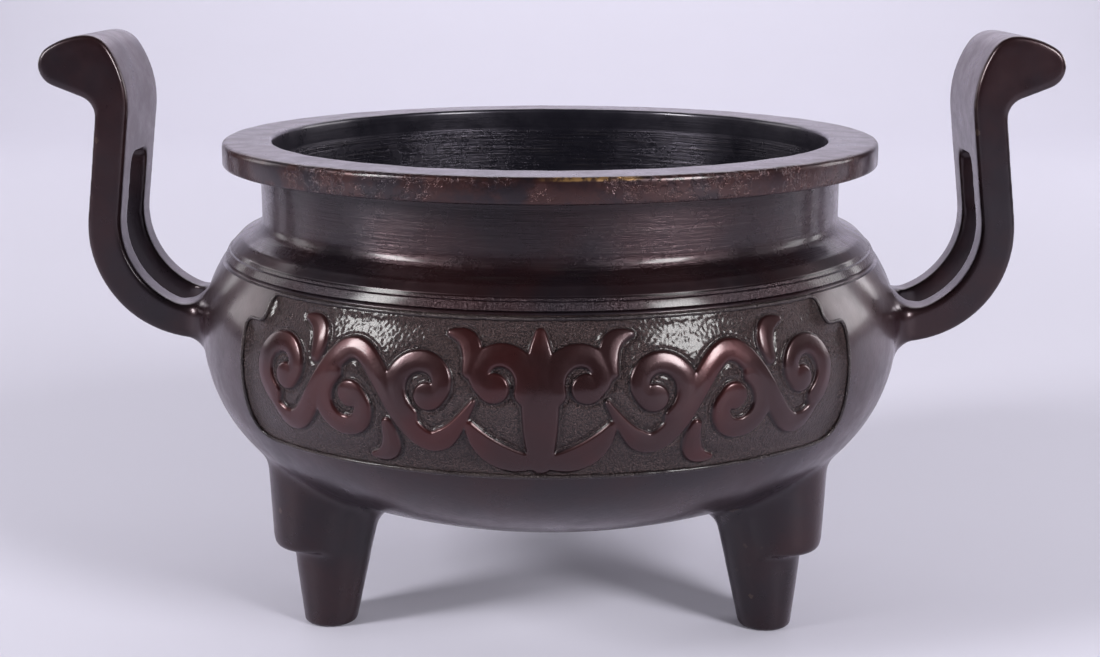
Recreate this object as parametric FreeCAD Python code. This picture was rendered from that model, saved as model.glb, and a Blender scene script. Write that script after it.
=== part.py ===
# Bronze tripod censer with two upright pierced handles, for a table or an altar shelf.
# The bowl, each handle and each leg are castings of their own. The handles and legs seat on the
# bowl's outer face, their tenons pass through its wall, and the tenon ends are hammered over inside.
# Millimetres, +Z up. The origin is on the bowl's axis, in the plane that the feet stand on.
# The sunk panels face -Y and +Y, and the handles stand at +X and -X.

import FreeCAD, Part
import math
import os

# Neck and rim, from the mouth outwards
mouth_radius = 59.5
mouth_edge_round = 0.7
neck_wall = 2.6
neck_length = 12.8
rim_overhang = 7.9
rim_thickness = 5.1
rim_edge_round = 0.9
rim_root_round = 0.8

# Shoulder: a cone from the neck's foot down to a raised ridge, with a scored groove below the ridge
neck_fillet = 1.6
shoulder_step = 1.5
shoulder_rise = 4.8
shoulder_edge_width = 0.65
shoulder_edge_height = 1.65
shoulder_edge_round = 3.0
ridge_rise = 18.0
ridge_stand_height = 0.45
ridge_lip_width = 0.5
ridge_width = 1.6
groove_width = 1.2
groove_depth = 0.7

# Belly: three arcs of one profile, the shoulder arc, the knuckle arc and the dish under the bowl
belly_bulge = 13.3
belly_height = 60.3
shoulder_arc_radius = 28.2
knuckle_radius = 32.8
dish_radius = 140.0
bowl_wall = 3.0

# Sunk panel in the belly, with stepped upper corners and rounded lower ones
panel_land = 0.3
panel_height = 29.2
panel_depth = 1.2
panel_half_angle = 52.3
panel_step_height = 5.6
panel_step_width = 6.4
panel_upper_round = 1.6
panel_lower_round = 7.5
panel_bearings = (270.0, 90.0)

# Handles: one strap, bent up from its root and curled outwards at its top
strap_width = 27.0
strap_root_thickness = 6.4
strap_rise_thickness = 6.9
strap_edge_round = 1.0
bend_inset = 0.6
bend_lift_height = 21.4
bend_radius = 23.4
bend_inner_offset = 1.8
lean_angle = 7.0
rise_length = 21.1
crown_side_radius = 21.7
crown_side_angle = 39.4
crown_top_radius = 5.8
crown_top_angle = 62.8
crown_back_radius = 17.0
crown_back_angle = 27.7
nose_radius = 4.5
lip_angle = 21.2
lip_bend_radius = 4.2
handle_fillet = 5.5

# Slot through the strap, from its root to below the crown
slot_root_width = 14.4
slot_top_width = 13.0
slot_web = 0.9
slot_rise = 15.9
slot_root_round = 6.0
slot_top_round = 3.2

# Legs: a tapering stem, and above the knee a fuller part that juts outwards
foot_inset = 21.9
foot_radius = 5.5
foot_edge_round = 0.8
stem_lean_offset = 2.5
stem_top_radius = 12.2
leg_top_drop = 20.3
knee_drop = 42.6
knee_offset = 4.4
knee_top_offset = 2.9
knee_inset = 0.1
knee_edge_round = 1.6
knee_flare_width = 1.2
knee_flare_height = 1.8
leg_fillet = 4.6
leg_bearings = {"leg_front_left": 210.0, "leg_front_right": 330.0, "leg_rear": 90.0}

# Tenons through the bowl's wall and their hammered heads inside it
handle_tenon_radius = 2.4
handle_head_radius = 4.3
leg_tenon_radius = 4.0
leg_head_radius = 6.6
head_rise = 1.7
head_edge_height = 0.5
tenon_clearance = 0.05
seat_clearance = 0.05

# One overrun for every cutter that has to pass the face it cuts
overrun = 6.0

# Bearing of the seam that a turned body keeps, clear of the panels, handles and legs
seam_bearing = 25.0

# Where along an edge it is tested for lying on the bowl
seam_sample_shares = (0.1, 0.5, 0.9)

UP = FreeCAD.Vector(0, 0, 1)
ACROSS = FreeCAD.Vector(0, 1, 0)
OUTWARDS = FreeCAD.Vector(1, 0, 0)
ORIGIN = FreeCAD.Vector(0, 0, 0)
FULL_TURN = 360
HALF_TURN = 180
QUARTER_TURN = 90

neck_radius = mouth_radius + neck_wall
rim_radius = neck_radius + rim_overhang
belly_radius = neck_radius + belly_bulge
ridge_height = belly_height + ridge_rise
shoulder_top_height = ridge_height + shoulder_rise
rim_height = shoulder_top_height + neck_length + rim_thickness
groove_height = ridge_height - ridge_width - groove_width / 2
panel_top_height = groove_height - groove_width / 2 - panel_land
panel_bottom_height = panel_top_height - panel_height
foot_circle_radius = belly_radius - foot_inset
leg_top_height = belly_height - leg_top_drop
knee_height = belly_height - knee_drop
strap_half = strap_width / 2


def point(reach, height):
    """A point of the XZ plane."""
    return FreeCAD.Vector(reach, 0, height)


def line(start, end):
    return Part.LineSegment(start, end).toShape()


def arc(start, middle, end):
    return Part.Arc(start, middle, end).toShape()


def heading_vector(degrees):
    """A unit vector of the XZ plane, with its angle counted from +X towards +Z."""
    angle = math.radians(degrees)
    return point(math.cos(angle), math.sin(angle))


def circle_point(centre, radius, degrees):
    return centre + heading_vector(degrees) * radius


def circle_arc(centre, radius, start_degrees, end_degrees):
    """An arc of under a full turn in the XZ plane, between two angles."""
    return arc(
        circle_point(centre, radius, start_degrees),
        circle_point(centre, radius, (start_degrees + end_degrees) / 2),
        circle_point(centre, radius, end_degrees))


def rounded_run(corners):
    """Edges through (point, round) corners in one plane. Ends, and rounds of 0, stay sharp."""
    edges = []
    previous = corners[0][0]
    for index in range(1, len(corners) - 1):
        corner, radius = corners[index]
        if radius == 0:
            edges.append(line(previous, corner))
            previous = corner
            continue
        back = (corners[index - 1][0] - corner).normalize()
        ahead = (corners[index + 1][0] - corner).normalize()
        half_angle = back.getAngle(ahead) / 2
        start = corner + back * (radius / math.tan(half_angle))
        end = corner + ahead * (radius / math.tan(half_angle))
        inwards = (back + ahead).normalize()
        middle = corner + inwards * (radius / math.sin(half_angle) - radius)
        edges.append(line(previous, start))
        edges.append(arc(start, middle, end))
        previous = end
    edges.append(line(previous, corners[-1][0]))
    return edges


def closed_run(corners):
    """The face inside a rounded run whose last corner is joined to its first."""
    return Part.Face(Part.Wire(rounded_run(corners) + [line(corners[-1][0], corners[0][0])]))


def turned(edges, bearing=seam_bearing):
    """The solid of revolution of a closed outline in the XZ plane, with its seam at a bearing."""
    solid = Part.Face(Part.Wire(edges)).revolve(ORIGIN, UP, FULL_TURN)
    if solid.Volume < 0:
        solid.reverse()
    solid.rotate(ORIGIN, UP, bearing)
    return solid


# The bowl's outer profile and the faces that lie a fixed distance inside or outside it

shoulder_centre = point(belly_radius - shoulder_arc_radius, belly_height)
knuckle_centre = point(belly_radius - knuckle_radius, belly_height)
dish_centre = point(0, belly_height + math.sqrt(
    (dish_radius - knuckle_radius) ** 2 - knuckle_centre.x ** 2))
dish_edge_angle = math.degrees(math.atan2(belly_height - dish_centre.z, knuckle_centre.x))


def shoulder_angle(height, grow=0.0):
    """Angle on the shoulder arc, grown outwards, at a height."""
    return math.degrees(math.asin((height - belly_height) / (shoulder_arc_radius + grow)))


def knuckle_angle(height, grow=0.0):
    """Angle on the knuckle arc, grown outwards, at a height."""
    return math.degrees(math.asin((height - belly_height) / (knuckle_radius + grow)))


def belly_edges(top_angle, grow=0.0):
    """The grown belly profile, from the axis under the bowl up to an angle on the shoulder arc."""
    return [
        circle_arc(dish_centre, dish_radius + grow, -QUARTER_TURN, dish_edge_angle),
        circle_arc(knuckle_centre, knuckle_radius + grow, dish_edge_angle, 0),
        circle_arc(shoulder_centre, shoulder_arc_radius + grow, 0, top_angle)]


def closed_to_axis(edges, last, top_height, grow):
    """Profile edges that end at last, closed along a top height and down the axis."""
    bottom = circle_point(dish_centre, dish_radius + grow, -QUARTER_TURN)
    corner = point(last.x, top_height)
    if (corner - last).Length > 0:
        edges.append(line(last, corner))
    edges.append(line(corner, point(0, top_height)))
    edges.append(line(point(0, top_height), bottom))
    return edges


def bowl_core(grow=0.0):
    """The belly as a full body, grown outwards by a clearance."""
    top_angle = shoulder_angle(ridge_height)
    top = circle_point(shoulder_centre, shoulder_arc_radius + grow, top_angle)
    return turned(closed_to_axis(belly_edges(top_angle, grow), top, top.z, grow), HALF_TURN)


def throat_angle(grow):
    """Angle at which the grown shoulder arc meets the throat, which is grown by as much."""
    throat_reach = mouth_radius + bowl_wall + grow
    return math.degrees(math.acos(
        (throat_reach - shoulder_centre.x) / (shoulder_arc_radius + grow)))


def bowl_cavity(shrink):
    """The space inside the bowl, drawn in by a clearance, up past the rim."""
    grow = -bowl_wall - shrink
    throat = circle_point(shoulder_centre, shoulder_arc_radius + grow, throat_angle(grow))
    edges = belly_edges(throat_angle(grow), grow)
    return turned(closed_to_axis(edges, throat, rim_height + overrun, grow), HALF_TURN)


# Bowl

def ridge_crest():
    """The top of the raised ridge, which stands out from the belly's arc."""
    on_arc = circle_point(shoulder_centre, shoulder_arc_radius, shoulder_angle(ridge_height))
    return on_arc + point(ridge_stand_height, 0)


def make_bowl():
    """The bowl, turned from one profile, with its panels sunk and its tenon holes cut."""
    bowl = turned(bowl_profile())
    for bearing in panel_bearings:
        bowl = bowl.cut(panel_cutter(bearing))
    for side in (0, HALF_TURN):
        for across in handle_tenon_places():
            bowl = bowl.cut(tenon_hole(handle_shank(across, tenon_clearance), side))
    for bearing in leg_bearings.values():
        bowl = bowl.cut(tenon_hole(leg_shank(tenon_clearance), bearing))
    return bowl


def bowl_profile():
    """The closed section of the bowl's wall: inside, rim, neck, shoulder, ridge, belly, dish."""
    throat = circle_point(shoulder_centre, shoulder_arc_radius - bowl_wall,
                          throat_angle(-bowl_wall))
    low = shoulder_angle(groove_height - groove_width / 2)
    high = shoulder_angle(groove_height + groove_width / 2)
    crest = ridge_crest()
    lip_foot = crest - point(ridge_lip_width, ridge_stand_height)
    inside = belly_edges(throat_angle(-bowl_wall), -bowl_wall)
    upper = rounded_run([
        (throat, 0),
        (point(mouth_radius, rim_height), mouth_edge_round),
        (point(rim_radius, rim_height), rim_edge_round),
        (point(rim_radius, rim_height - rim_thickness), rim_edge_round),
        (point(neck_radius, rim_height - rim_thickness), rim_root_round),
        (point(neck_radius, shoulder_top_height + shoulder_step), neck_fillet / 2),
        (point(neck_radius + shoulder_step, shoulder_top_height), neck_fillet / 2),
        (lip_foot + point(-shoulder_edge_width, shoulder_edge_height), shoulder_edge_round),
        (lip_foot, 0),
        (crest, 0),
        (circle_point(shoulder_centre, shoulder_arc_radius, high), 0)])
    groove = arc(
        circle_point(shoulder_centre, shoulder_arc_radius, low),
        circle_point(shoulder_centre, shoulder_arc_radius - groove_depth, (low + high) / 2),
        circle_point(shoulder_centre, shoulder_arc_radius, high))
    outside = [
        groove,
        circle_arc(shoulder_centre, shoulder_arc_radius, low, 0),
        circle_arc(knuckle_centre, knuckle_radius, 0, dish_edge_angle),
        circle_arc(dish_centre, dish_radius, dish_edge_angle, -QUARTER_TURN)]
    axis = line(
        circle_point(dish_centre, dish_radius, -QUARTER_TURN),
        circle_point(dish_centre, dish_radius - bowl_wall, -QUARTER_TURN))
    return inside + upper + outside + [axis]


def panel_cutter(bearing):
    """What is sunk for the panel at a bearing: a band, trimmed by the panel's outline."""
    outside = belly_radius + overrun
    floor_low = knuckle_angle(panel_bottom_height, -panel_depth)
    floor_top = shoulder_angle(panel_top_height, -panel_depth)
    section = Part.Face(Part.Wire([
        circle_arc(knuckle_centre, knuckle_radius - panel_depth, floor_low, 0),
        circle_arc(shoulder_centre, shoulder_arc_radius - panel_depth, 0, floor_top),
        line(circle_point(shoulder_centre, shoulder_arc_radius - panel_depth, floor_top),
             point(outside, panel_top_height)),
        line(point(outside, panel_top_height), point(outside, panel_bottom_height)),
        line(point(outside, panel_bottom_height),
             circle_point(knuckle_centre, knuckle_radius - panel_depth, floor_low))]))
    section.rotate(ORIGIN, UP, bearing - panel_half_angle)
    band = section.revolve(ORIGIN, UP, 2 * panel_half_angle)
    for side in (1, -1):
        for corner in panel_corners():
            if side < 0:
                corner = corner.mirror(ORIGIN, ACROSS)
            corner.rotate(ORIGIN, UP, bearing + side * panel_half_angle)
            band = band.cut(corner)
    return band


def panel_corners():
    """Prisms along +X that trim the corners at a panel's end, which lies in the plane Y = 0."""
    step_top = point(-panel_step_width, panel_top_height + overrun)
    step_end = point(overrun, panel_top_height - panel_step_height)
    above_step = point(overrun, step_top.z)
    step_edges = rounded_run([
        (step_top, 0),
        (point(-panel_step_width, panel_top_height - panel_step_height), panel_upper_round),
        (step_end, 0)])
    step_edges += [line(step_end, above_step), line(above_step, step_top)]
    corner = point(0, panel_bottom_height)
    along = corner - point(panel_lower_round, 0)
    above = corner + point(0, panel_lower_round)
    centre = corner + point(-panel_lower_round, panel_lower_round)
    low_corner = point(overrun, panel_bottom_height - overrun)
    round_edges = [
        circle_arc(centre, panel_lower_round, -QUARTER_TURN, 0),
        line(above, point(overrun, above.z)),
        line(point(overrun, above.z), low_corner),
        line(low_corner, point(along.x, low_corner.z)),
        line(point(along.x, low_corner.z), along)]
    prisms = []
    for edges in (step_edges, round_edges):
        face = Part.Face(Part.Wire(edges))
        face.rotate(ORIGIN, UP, QUARTER_TURN)
        prisms.append(face.extrude(OUTWARDS * (belly_radius + overrun)))
    return prisms


def tenon_hole(hole, bearing):
    hole.rotate(ORIGIN, UP, bearing)
    return hole


# Tenons. A shank is a cylinder through the bowl's wall, and its head is hammered out inside.

def handle_tenon_places():
    """Where a handle's two tenons lie across it: the middle of the rail on each side of the slot."""
    rail_middle = (strap_half + slot_root_width / 2) / 2
    return (rail_middle, -rail_middle)


def handle_tenon_height():
    """The middle of the strap's thickness at its root."""
    return belly_height + bend_lift_height - bend_radius + strap_root_thickness / 2


def handle_shank(across, grow=0.0):
    """A handle's tenon at +X, grown in radius for its hole, along X through the wall."""
    start = FreeCAD.Vector(belly_radius + bowl_wall, across, handle_tenon_height())
    return Part.makeCylinder(handle_tenon_radius + grow, 3 * bowl_wall, start, -OUTWARDS)


def leg_shank(grow=0.0):
    """A leg's tenon at +X, grown in radius for its hole, upright through the floor."""
    place, outwards = wall_under(foot_circle_radius)
    start = place - UP * (2 * bowl_wall)
    return Part.makeCylinder(leg_tenon_radius + grow, 3 * bowl_wall, start, UP)


def wall_under(reach):
    """The inner face's place at a reach from the axis, low in the bowl, and its way outwards."""
    dish_inner = dish_radius - bowl_wall
    knuckle_inner = knuckle_radius - bowl_wall
    edge_reach = circle_point(dish_centre, dish_inner, dish_edge_angle).x
    if reach < edge_reach:
        angle = -math.degrees(math.acos(reach / dish_inner))
        return circle_point(dish_centre, dish_inner, angle), heading_vector(angle)
    angle = -math.degrees(math.acos((reach - knuckle_centre.x) / knuckle_inner))
    return circle_point(knuckle_centre, knuckle_inner, angle), heading_vector(angle)


def wall_beside(across, height):
    """The inner face's place at +X, at a distance across and a height, and its way outwards."""
    angle = shoulder_angle(height, -bowl_wall)
    place = circle_point(shoulder_centre, shoulder_arc_radius - bowl_wall, angle)
    bearing = math.degrees(math.asin(across / place.x))
    turn = FreeCAD.Rotation(UP, bearing)
    return turn.multVec(place), turn.multVec(heading_vector(angle))


def hammered_head(place, outwards, head_radius):
    """A low dome with an upright edge, on the bowl's inner face."""
    dome_rise = head_rise - head_edge_height
    ball_radius = (head_radius ** 2 + dome_rise ** 2) / (2 * dome_rise)
    ball_centre = place + outwards * (ball_radius - head_rise)
    ball = Part.makeSphere(ball_radius, ball_centre, outwards)
    disc = Part.makeCylinder(head_radius, bowl_wall + head_rise, place + outwards * bowl_wall, -outwards)
    return disc.common(ball).common(bowl_cavity(seat_clearance))


# Seating a casting on the bowl

def seated(casting, fillet):
    """A casting at +X, spread in a fillet onto the bowl's outer face and cut to seat on it."""
    joined = bowl_core().fuse(casting)
    seam = [edge for edge in joined.Edges if on_seam(edge)]
    spread = joined.makeFillet(fillet, seam)
    return largest(spread.cut(bowl_core(seat_clearance)))


def on_seam(edge):
    """True for an edge where a casting at +X meets the bowl's core."""
    if edge.BoundBox.XMin < 0 or edge.Length < seat_clearance:
        return False
    span = edge.LastParameter - edge.FirstParameter
    places = [edge.valueAt(edge.FirstParameter + span * share) for share in seam_sample_shares]
    return all(on_core(place) for place in places)


def on_core(place):
    """True for a point on the belly's outer face."""
    flat = point(math.hypot(place.x, place.y), place.z)
    misses = [
        (flat - dish_centre).Length - dish_radius,
        (flat - knuckle_centre).Length - knuckle_radius,
        (flat - shoulder_centre).Length - shoulder_arc_radius]
    return min(abs(miss) for miss in misses) < seat_clearance / 10


def largest(shape):
    return max(shape.Solids, key=lambda solid: solid.Volume)


# Handles

def make_handle():
    """The handle at +X: a pierced strap with its root spread onto the bowl, and two tenons."""
    strap = Part.Face(Part.Wire(strap_outline())).extrude(ACROSS * strap_width)
    strap.translate(-ACROSS * strap_half)
    strap = strap.makeFillet(strap_edge_round, side_edges(strap))
    handle = seated(strap, handle_fillet).cut(slot_cutter())
    for across in handle_tenon_places():
        place, outwards = wall_beside(across, handle_tenon_height())
        handle = handle.fuse(handle_shank(across))
        handle = handle.fuse(hammered_head(place, outwards, handle_head_radius))
    return handle


def side_edges(strap):
    """The long edges along both flanks of the strap."""
    edges = []
    for edge in strap.Edges:
        on_flank = abs(abs(edge.CenterOfMass.y) - strap_half) < seat_clearance
        if on_flank and edge.BoundBox.XMax > belly_radius - bowl_wall:
            edges.append(edge)
    return edges


def turn_edge(start, heading, radius, turn):
    """An arc that leaves start along a heading. It turns left where turn is positive."""
    side = math.copysign(QUARTER_TURN, turn)
    centre = start + heading_vector(heading + side) * radius
    spoke = heading - side
    end = circle_point(centre, radius, spoke + turn)
    return circle_arc(centre, radius, spoke, spoke + turn), end, heading + turn


def strap_outline():
    """The strap seen along Y: up its inner side, over the crown and nose, and down again."""
    outer_centre = point(belly_radius - bend_inset, belly_height + bend_lift_height)
    outer_root = circle_point(outer_centre, bend_radius, -QUARTER_TURN)
    outer_top = circle_point(outer_centre, bend_radius, lean_angle)
    inner_centre, inner_radius = inner_bend(outer_centre)
    inner_root = circle_point(inner_centre, inner_radius, -QUARTER_TURN)
    inner_top = circle_point(inner_centre, inner_radius, lean_angle)
    heading = QUARTER_TURN + lean_angle
    place = inner_top + heading_vector(heading) * rise_length
    edges = [
        circle_arc(inner_centre, inner_radius, -QUARTER_TURN, lean_angle),
        line(inner_top, place)]
    crown = (
        (crown_side_radius, crown_side_angle),
        (crown_top_radius, crown_top_angle),
        (crown_back_radius, crown_back_angle))
    for radius, angle in crown:
        edge, place, heading = turn_edge(place, heading, radius, -angle)
        edges.append(edge)
    nose_turn = lip_angle - HALF_TURN - heading
    edge, nose_end, heading = turn_edge(place, heading, nose_radius, nose_turn)
    edges.append(edge)
    lip_corner = crossing(nose_end, heading, outer_top, QUARTER_TURN + lean_angle)
    edges.extend(rounded_run([(nose_end, 0), (lip_corner, lip_bend_radius), (outer_top, 0)]))
    edges.append(circle_arc(outer_centre, bend_radius, lean_angle, -QUARTER_TURN))
    back_reach = inner_root.x - bowl_wall
    edges.append(line(outer_root, point(back_reach, outer_root.z)))
    edges.append(line(point(back_reach, outer_root.z), point(back_reach, inner_root.z)))
    edges.append(line(point(back_reach, inner_root.z), inner_root))
    return edges


def inner_bend(outer_centre):
    """Centre and radius of the inner bend, which leaves the strap its two thicknesses."""
    floor = outer_centre.z - bend_radius + strap_root_thickness
    reach = outer_centre.x - bend_inner_offset
    lean = heading_vector(lean_angle)
    rise_face = outer_centre.dot(lean) + bend_radius - strap_rise_thickness
    radius = (rise_face - reach * lean.x - floor * lean.z) / (1 + lean.z)
    return point(reach, floor + radius), radius


def crossing(first, first_heading, second, second_heading):
    """Where two lines of the XZ plane cross, each given by a point and a heading."""
    first_way = heading_vector(first_heading)
    second_way = heading_vector(second_heading)
    gap = second - first
    along = (gap.x * second_way.z - gap.z * second_way.x) / (
        first_way.x * second_way.z - first_way.z * second_way.x)
    return first + first_way * along


def slot_cutter():
    """The slot as it is seen along X, with a rounded top, met by its plan, with a round root end."""
    near = belly_radius + slot_web
    low = belly_height + bend_lift_height - bend_radius
    top = belly_height + bend_lift_height + slot_rise
    root_half = slot_root_width / 2
    top_half = slot_top_width / 2
    reach = bend_radius + overrun
    seen = closed_run([
        (FreeCAD.Vector(near, -root_half, low), 0),
        (FreeCAD.Vector(near, -top_half, top), slot_top_round),
        (FreeCAD.Vector(near, top_half, top), slot_top_round),
        (FreeCAD.Vector(near, root_half, low), 0)]).extrude(OUTWARDS * reach)
    plan = closed_run([
        (FreeCAD.Vector(near + reach, -root_half, low), 0),
        (FreeCAD.Vector(near, -root_half, low), slot_root_round),
        (FreeCAD.Vector(near, root_half, low), slot_root_round),
        (FreeCAD.Vector(near + reach, root_half, low), 0)]).extrude(UP * (top - low))
    return seen.common(plan)


# Legs

def make_leg():
    """The leg at +X: a stem and a knee, spread onto the bowl's underside, and one tenon."""
    stem = cut_level(leg_cone(0, leg_top_height, (0, 0), 0), 0)
    stem = stem.makeFillet(foot_edge_round, edges_up_to(stem, foot_edge_round))
    knee_cone = leg_cone(knee_height, leg_top_height, (knee_offset, knee_top_offset), knee_inset)
    knee = cut_level(knee_cone, knee_height)
    knee = knee.makeFillet(knee_edge_round, edges_up_to(knee, knee_height + knee_edge_round))
    start, start_radius = stem_section(knee_height - knee_flare_height, 0, knee_inset)
    end, end_radius = stem_section(knee_height, 0, -knee_flare_width)
    flare = Part.makeCone(start_radius, end_radius, (end - start).Length, start, end - start)
    leg = seated(stem.fuse([knee, flare.common(knee_cone)]), leg_fillet)
    place, outwards = wall_under(foot_circle_radius)
    return leg.fuse(leg_shank()).fuse(hammered_head(place, outwards, leg_head_radius))


def edges_up_to(shape, height):
    return [edge for edge in shape.Edges if edge.BoundBox.ZMax < height]


def stem_section(height, offset, inset):
    """Centre and radius of the stem's taper at a height, offset outwards and drawn in."""
    up_share = height / leg_top_height
    radius = foot_radius + (stem_top_radius - foot_radius) * up_share - inset
    return point(foot_circle_radius - stem_lean_offset * up_share + offset, height), radius


def leg_cone(low, high, offsets, inset):
    """A cone through the stem's sections at two heights, run on below the lower one."""
    start, start_radius = stem_section(low, offsets[0], inset)
    end, end_radius = stem_section(high, offsets[1], inset)
    run_on_share = overrun / (end - start).Length
    start -= (end - start) * run_on_share
    start_radius -= (end_radius - start_radius) * run_on_share
    return Part.makeCone(start_radius, end_radius, (end - start).Length, start, end - start)


def cut_level(cone, height):
    """A cone of the leg with all that lies below a height cut off."""
    below = 2 * overrun
    corner = FreeCAD.Vector(0, -foot_circle_radius, height - below)
    return cone.cut(Part.makeBox(2 * foot_circle_radius, 2 * foot_circle_radius, below, corner))


os.makedirs("parts", exist_ok=True)
make_bowl().exportStep("parts/bowl.step")
right_handle = make_handle()
right_handle.exportStep("parts/handle_right.step")
right_handle.mirror(ORIGIN, OUTWARDS).exportStep("parts/handle_left.step")
leg = make_leg()
for name, bearing in leg_bearings.items():
    placed = leg.copy()
    placed.rotate(ORIGIN, UP, bearing)
    placed.exportStep("parts/" + name + ".step")
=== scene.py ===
import math

import bmesh
import bpy
import numpy as np
from mathutils import Matrix, Vector, noise
from mathutils.bvhtree import BVHTree
from mathutils.kdtree import KDTree


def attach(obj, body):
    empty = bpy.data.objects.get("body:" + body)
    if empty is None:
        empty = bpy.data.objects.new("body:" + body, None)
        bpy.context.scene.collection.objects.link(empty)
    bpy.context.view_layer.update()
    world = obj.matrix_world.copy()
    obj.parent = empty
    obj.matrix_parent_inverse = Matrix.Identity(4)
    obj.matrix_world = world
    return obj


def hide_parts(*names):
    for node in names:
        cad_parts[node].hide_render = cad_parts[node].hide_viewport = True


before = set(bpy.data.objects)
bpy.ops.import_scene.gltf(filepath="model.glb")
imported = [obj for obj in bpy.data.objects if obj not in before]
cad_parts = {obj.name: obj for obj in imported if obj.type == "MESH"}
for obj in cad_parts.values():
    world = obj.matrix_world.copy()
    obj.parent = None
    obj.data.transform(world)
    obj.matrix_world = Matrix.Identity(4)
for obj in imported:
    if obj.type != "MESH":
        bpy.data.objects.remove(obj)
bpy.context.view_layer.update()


# Bowl
# A turned bronze casting with a flat rim, a waisted neck, a ridged shoulder and a round belly. Its patina
# is a dark red-brown, waxed and rubbed, with faint marks of turning and a near-black inside.

MM = 0.001
MERGE = 0.001 * MM
MOUTH_RADIUS = 59.5 * MM
MOUTH_ROUND = 0.9 * MM
NECK_RADIUS = 62.1 * MM
NECK_FOOT_ROUND = 3.2 * MM
RIM_RADIUS = 70.0 * MM
RIM_HEIGHT = 101.0 * MM
RIM_UNDERSIDE = 95.9 * MM
RIM_ROUND = 0.8 * MM
RIM_TOP_ROUND = 1.2 * MM
RIM_ROOT_ROUND = 1.0 * MM
SHOULDER_HEIGHT = 83.1 * MM
SHOULDER_BEND_RADIUS = 66.8 * MM
SHOULDER_BEND_HEIGHT = 80.9 * MM
SHOULDER_BEND_ROUND = 2.5 * MM
SHOULDER_EDGE_ROUND = 0.9 * MM
SHOULDER_EDGE_WIDTH = 0.45 * MM
SHOULDER_EDGE_RISE = 0.9 * MM
RIDGE_HEIGHT = 78.3 * MM
RIDGE_STAND = 0.45 * MM
RIDGE_LIP = 0.5 * MM
RIDGE_ROUND = 0.35 * MM
GROOVE_TOP = 76.8 * MM
GROOVE_BOTTOM = 75.8 * MM
GROOVE_DEPTH = 0.7 * MM
GROOVE_SHARES = (0.2, 0.4, 0.6, 0.8)
BELLY_RADIUS = 75.4 * MM
BELLY_HEIGHT = 60.3 * MM
SHOULDER_ARC = 28.2 * MM
KNUCKLE_ARC = 32.8 * MM
DISH_ARC = 140.0 * MM
WALL = 3.0 * MM
PROFILE_STEP = 1.6 * MM
STEP_SLACK = 0.001
LEAST_ARC_STEPS = 2
ROUND_STEPS = 6
BOWL_COLUMNS = 384
BOWL_DENT = 0.07 * MM
BOWL_DENT_SCALE = 60
RIM_DENT_SHARE = 0.8
RIM_DENT_SCALE = 190
RIM_WAVE_SCALE = 150
CREASE_ANGLE = math.radians(48)
PANEL_HALF_ANGLE = math.radians(52.3)
PANEL_TOP = 75.6 * MM
PANEL_BOTTOM = 46.0 * MM
PANEL_STEP_HEIGHT = 5.9 * MM
PANEL_STEP_WIDTH = 6.4 * MM
PANEL_LOW_ROUND = 7.0 * MM
PANEL_NOTCH_ROUND = 2.2 * MM
OUTLINE_STEP = 0.8 * MM
RECESS_GRID = 3.0 * MM
RECESS_DEPTH = 1.6 * MM
RECESS_OVERRUN = 2.0 * MM
CUTTER_THICKNESS = 1.0

scene = bpy.context.scene
panel_half_width = PANEL_HALF_ANGLE * BELLY_RADIUS
panel_up = SHOULDER_ARC * math.asin((PANEL_TOP - BELLY_HEIGHT) / SHOULDER_ARC)
panel_down = KNUCKLE_ARC * math.asin((PANEL_BOTTOM - BELLY_HEIGHT) / KNUCKLE_ARC)
shoulder_across = BELLY_RADIUS - SHOULDER_ARC
knuckle_across = BELLY_RADIUS - KNUCKLE_ARC
dish_height = BELLY_HEIGHT + math.sqrt((DISH_ARC - KNUCKLE_ARC) ** 2 - knuckle_across ** 2)
dish_edge_angle = math.atan2(BELLY_HEIGHT - dish_height, knuckle_across)


def arc_corners(centre, radius, start, end):
    """Sharp corners along an arc, a profile step apart, as (across, up, round)."""
    steps = max(LEAST_ARC_STEPS, math.ceil(abs(end - start) * radius / PROFILE_STEP))
    angles = [start + (end - start) * step / steps for step in range(steps + 1)]
    return [(centre[0] + radius * math.cos(angle), centre[1] + radius * math.sin(angle), 0)
            for angle in angles]


def rounded_path(corners, step):
    """Points along a path of (across, up, round) corners, at most a step apart."""
    path = [Vector(corners[0][:2])]
    for before, (x, y, radius), after in zip(corners, corners[1:], corners[2:]):
        corner = Vector((x, y))
        if radius == 0:
            path.append(corner)
            continue
        back = (Vector(before[:2]) - corner).normalized()
        ahead = (Vector(after[:2]) - corner).normalized()
        reach = radius / math.tan(back.angle(ahead) / 2)
        first, last = corner + back * reach, corner + ahead * reach
        for share in np.linspace(0, 1, ROUND_STEPS):
            path.append(first * (1 - share) ** 2 + corner * 2 * share * (1 - share) + last * share ** 2)
    path.append(Vector(corners[-1][:2]))
    fine = [path[0]]
    for first, last in zip(path, path[1:]):
        steps = math.ceil((last - first).length / step - STEP_SLACK)
        fine += [first.lerp(last, index / steps) for index in range(1, steps + 1)]
    return fine


def belly_arcs(shrink, top_angle):
    """The belly's section drawn in by shrink, from the axis below up to an angle on its shoulder."""
    dish = arc_corners((0, dish_height), DISH_ARC - shrink, -math.pi / 2, dish_edge_angle)
    knuckle = arc_corners((knuckle_across, BELLY_HEIGHT), KNUCKLE_ARC - shrink, dish_edge_angle, 0)
    shoulder = arc_corners((shoulder_across, BELLY_HEIGHT), SHOULDER_ARC - shrink, 0, top_angle)
    return dish + knuckle[1:] + shoulder[1:]


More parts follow.
